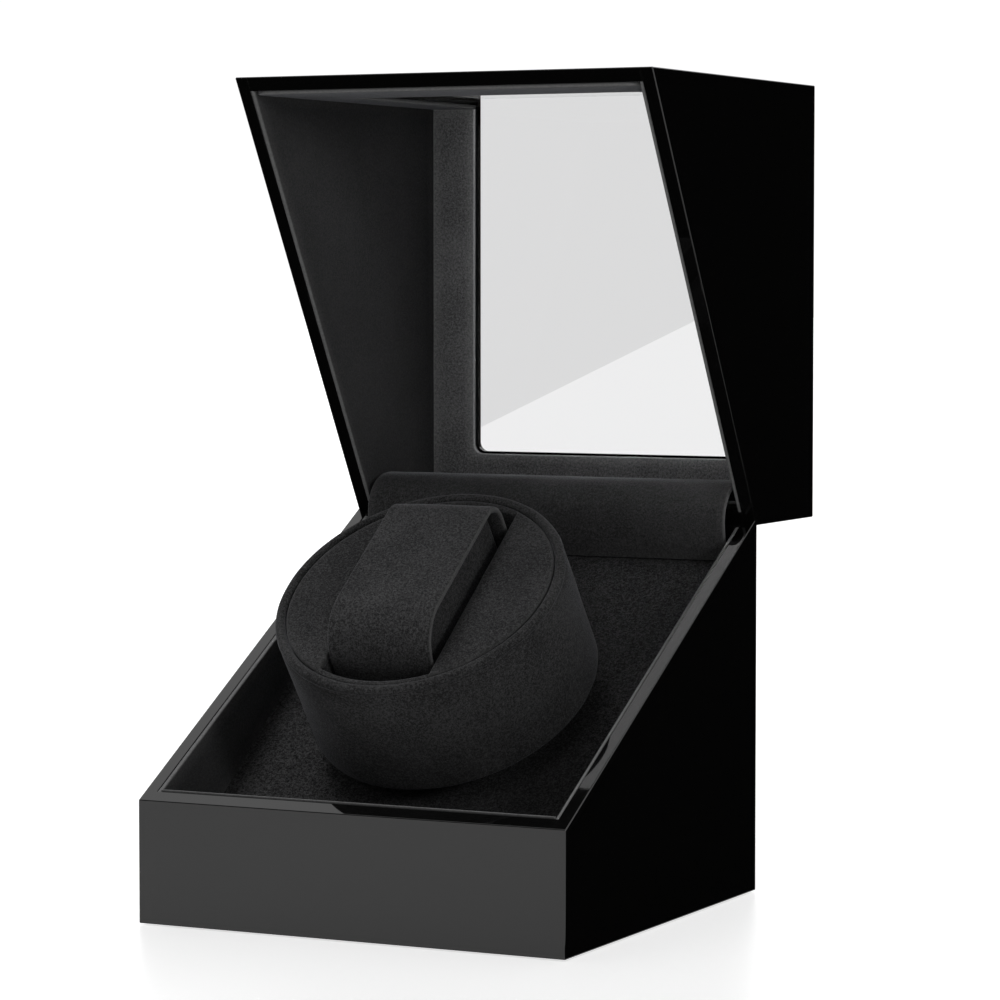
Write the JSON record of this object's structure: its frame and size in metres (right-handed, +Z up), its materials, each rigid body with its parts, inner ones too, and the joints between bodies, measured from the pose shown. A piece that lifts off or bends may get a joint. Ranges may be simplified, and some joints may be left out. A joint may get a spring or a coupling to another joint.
{
  "type": "watch winder box",
  "caption": "Black lacquered watch winder box with a slant-cut hinged lid, wrap-over window and a powered suede drum that holds a watch pillow.",
  "frame": {"origin": "middle of the footprint, on the surface that the box stands on", "axes": "+Z up, -Y towards the low front of the box, +X to the right seen from the front"},
  "size_m": [0.14, 0.1847, 0.2526],
  "materials": {
    "lacquer": "black piano lacquer over fibreboard, polished",
    "board_core": "bare fibreboard and pine",
    "felt_pad": "pressed felt",
    "liner_velvet": "fine flocked velvet on card",
    "cover_velvet": "flexible velvet strip",
    "deck_suede": "coarse suede cloth",
    "drum_velvet": "suede cloth stretched over the drum, with a welt",
    "pillow_velvet": "suede cloth over a padded band",
    "black_plastic": "moulded",
    "acrylic": "clear acrylic sheet with a faint grey tint",
    "steel": "plated",
    "bronze": "sintered bronze",
    "belt_rubber": "flat belt",
    "circuit": "green circuit board",
    "lead_sleeve": "insulated lead"
  },
  "bodies": {
    "case": {"base_back_board": "lacquer", "base_bottom_board": "board_core", "base_felt_pad": "felt_pad", "base_front_board": "lacquer", "base_front_liner": "liner_velvet", "base_left_board": "lacquer", "base_left_liner": "liner_velvet", "base_right_board": "lacquer", "base_right_liner": "liner_velvet", "board_posts": "black_plastic", "board_screws": "steel", "control_board": "circuit", "dc_jack": "black_plastic", "deck_panel": "board_core", "deck_rails": "board_core", "deck_screws": "steel", "deck_suede": "deck_suede", "drive_belt": "belt_rubber", "gear_motor": "steel", "hinge_base_leaves": "steel", "hinge_base_screws": "steel", "hinge_cover": "cover_velvet", "hinge_pins": "steel", "inner_leads": "lead_sleeve", "mechanism_screws": "steel", "mode_switch": "black_plastic", "motor_bracket": "steel", "panel_nuts": "steel", "power_switch": "black_plastic", "spindle_bushes": "bronze", "spindle_housing": "black_plastic"},
    "lid": {"hinge_lid_leaves": "steel", "hinge_lid_screws": "steel", "lid_back_board": "lacquer", "lid_back_liner": "liner_velvet", "lid_front_board": "lacquer", "lid_front_liner": "liner_velvet", "lid_left_board": "lacquer", "lid_left_liner": "liner_velvet", "lid_right_board": "lacquer", "lid_right_liner": "liner_velvet", "lid_top_board": "lacquer", "lid_top_liner": "liner_velvet", "window_pane": "acrylic"},
    "drum": {"drum_cup": "black_plastic", "drum_sleeve": "drum_velvet", "slot_trough": "drum_velvet", "drum_face_left": "drum_velvet", "drum_face_right": "drum_velvet", "drum_hub": "black_plastic", "hub_screws": "steel", "spindle": "steel", "spindle_clip": "steel", "spindle_pulley": "black_plastic"},
    "pillow": {"pillow_band": "pillow_velvet", "pillow_core": "pillow_velvet"},
    "motor_drive": {"motor_shaft": "steel", "motor_pulley": "black_plastic"},
    "knob": {"mode_knob": "black_plastic"},
    "button": {"power_button": "black_plastic"}
  },
  "joints": [
    {"name": "lid_hinge", "type": "hinge", "parent": "case", "child": "lid", "pos_m": [0, 0.0675, 0.11611], "axis": [-1, 0, 0], "range_deg": [-90, 0], "deforming": ["hinge_cover"]},
    {"name": "drum_spin", "type": "hinge", "parent": "case", "child": "drum", "pos_m": [0, 0.0055, 0.05987], "axis": [0, -0.6, 0.8], "continuous": true},
    {"name": "pillow_lift", "type": "slide", "parent": "drum", "child": "pillow", "axis": [0, -0.6, 0.8], "range_m": [0, 0.04]},
    {"name": "motor_spin", "type": "hinge", "parent": "case", "child": "motor_drive", "pos_m": [0, 0.0311, 0.07906], "axis": [0, -0.6, 0.8], "continuous": true},
    {"name": "knob_turn", "type": "hinge", "parent": "case", "child": "knob", "pos_m": [0.032, 0.069, 0.03], "axis": [0, 1, 0], "range_deg": [0, 90]},
    {"name": "button_press", "type": "slide", "parent": "case", "child": "button", "axis": [0, -1, 0], "range_m": [0, 0.0012], "stiffness_N_per_m": 600, "springref_m": -0.0004}
  ],
  "couplings": [
    {"joint": "motor_spin", "follows": "drum_spin", "ratio": 2.6071}
  ]
}
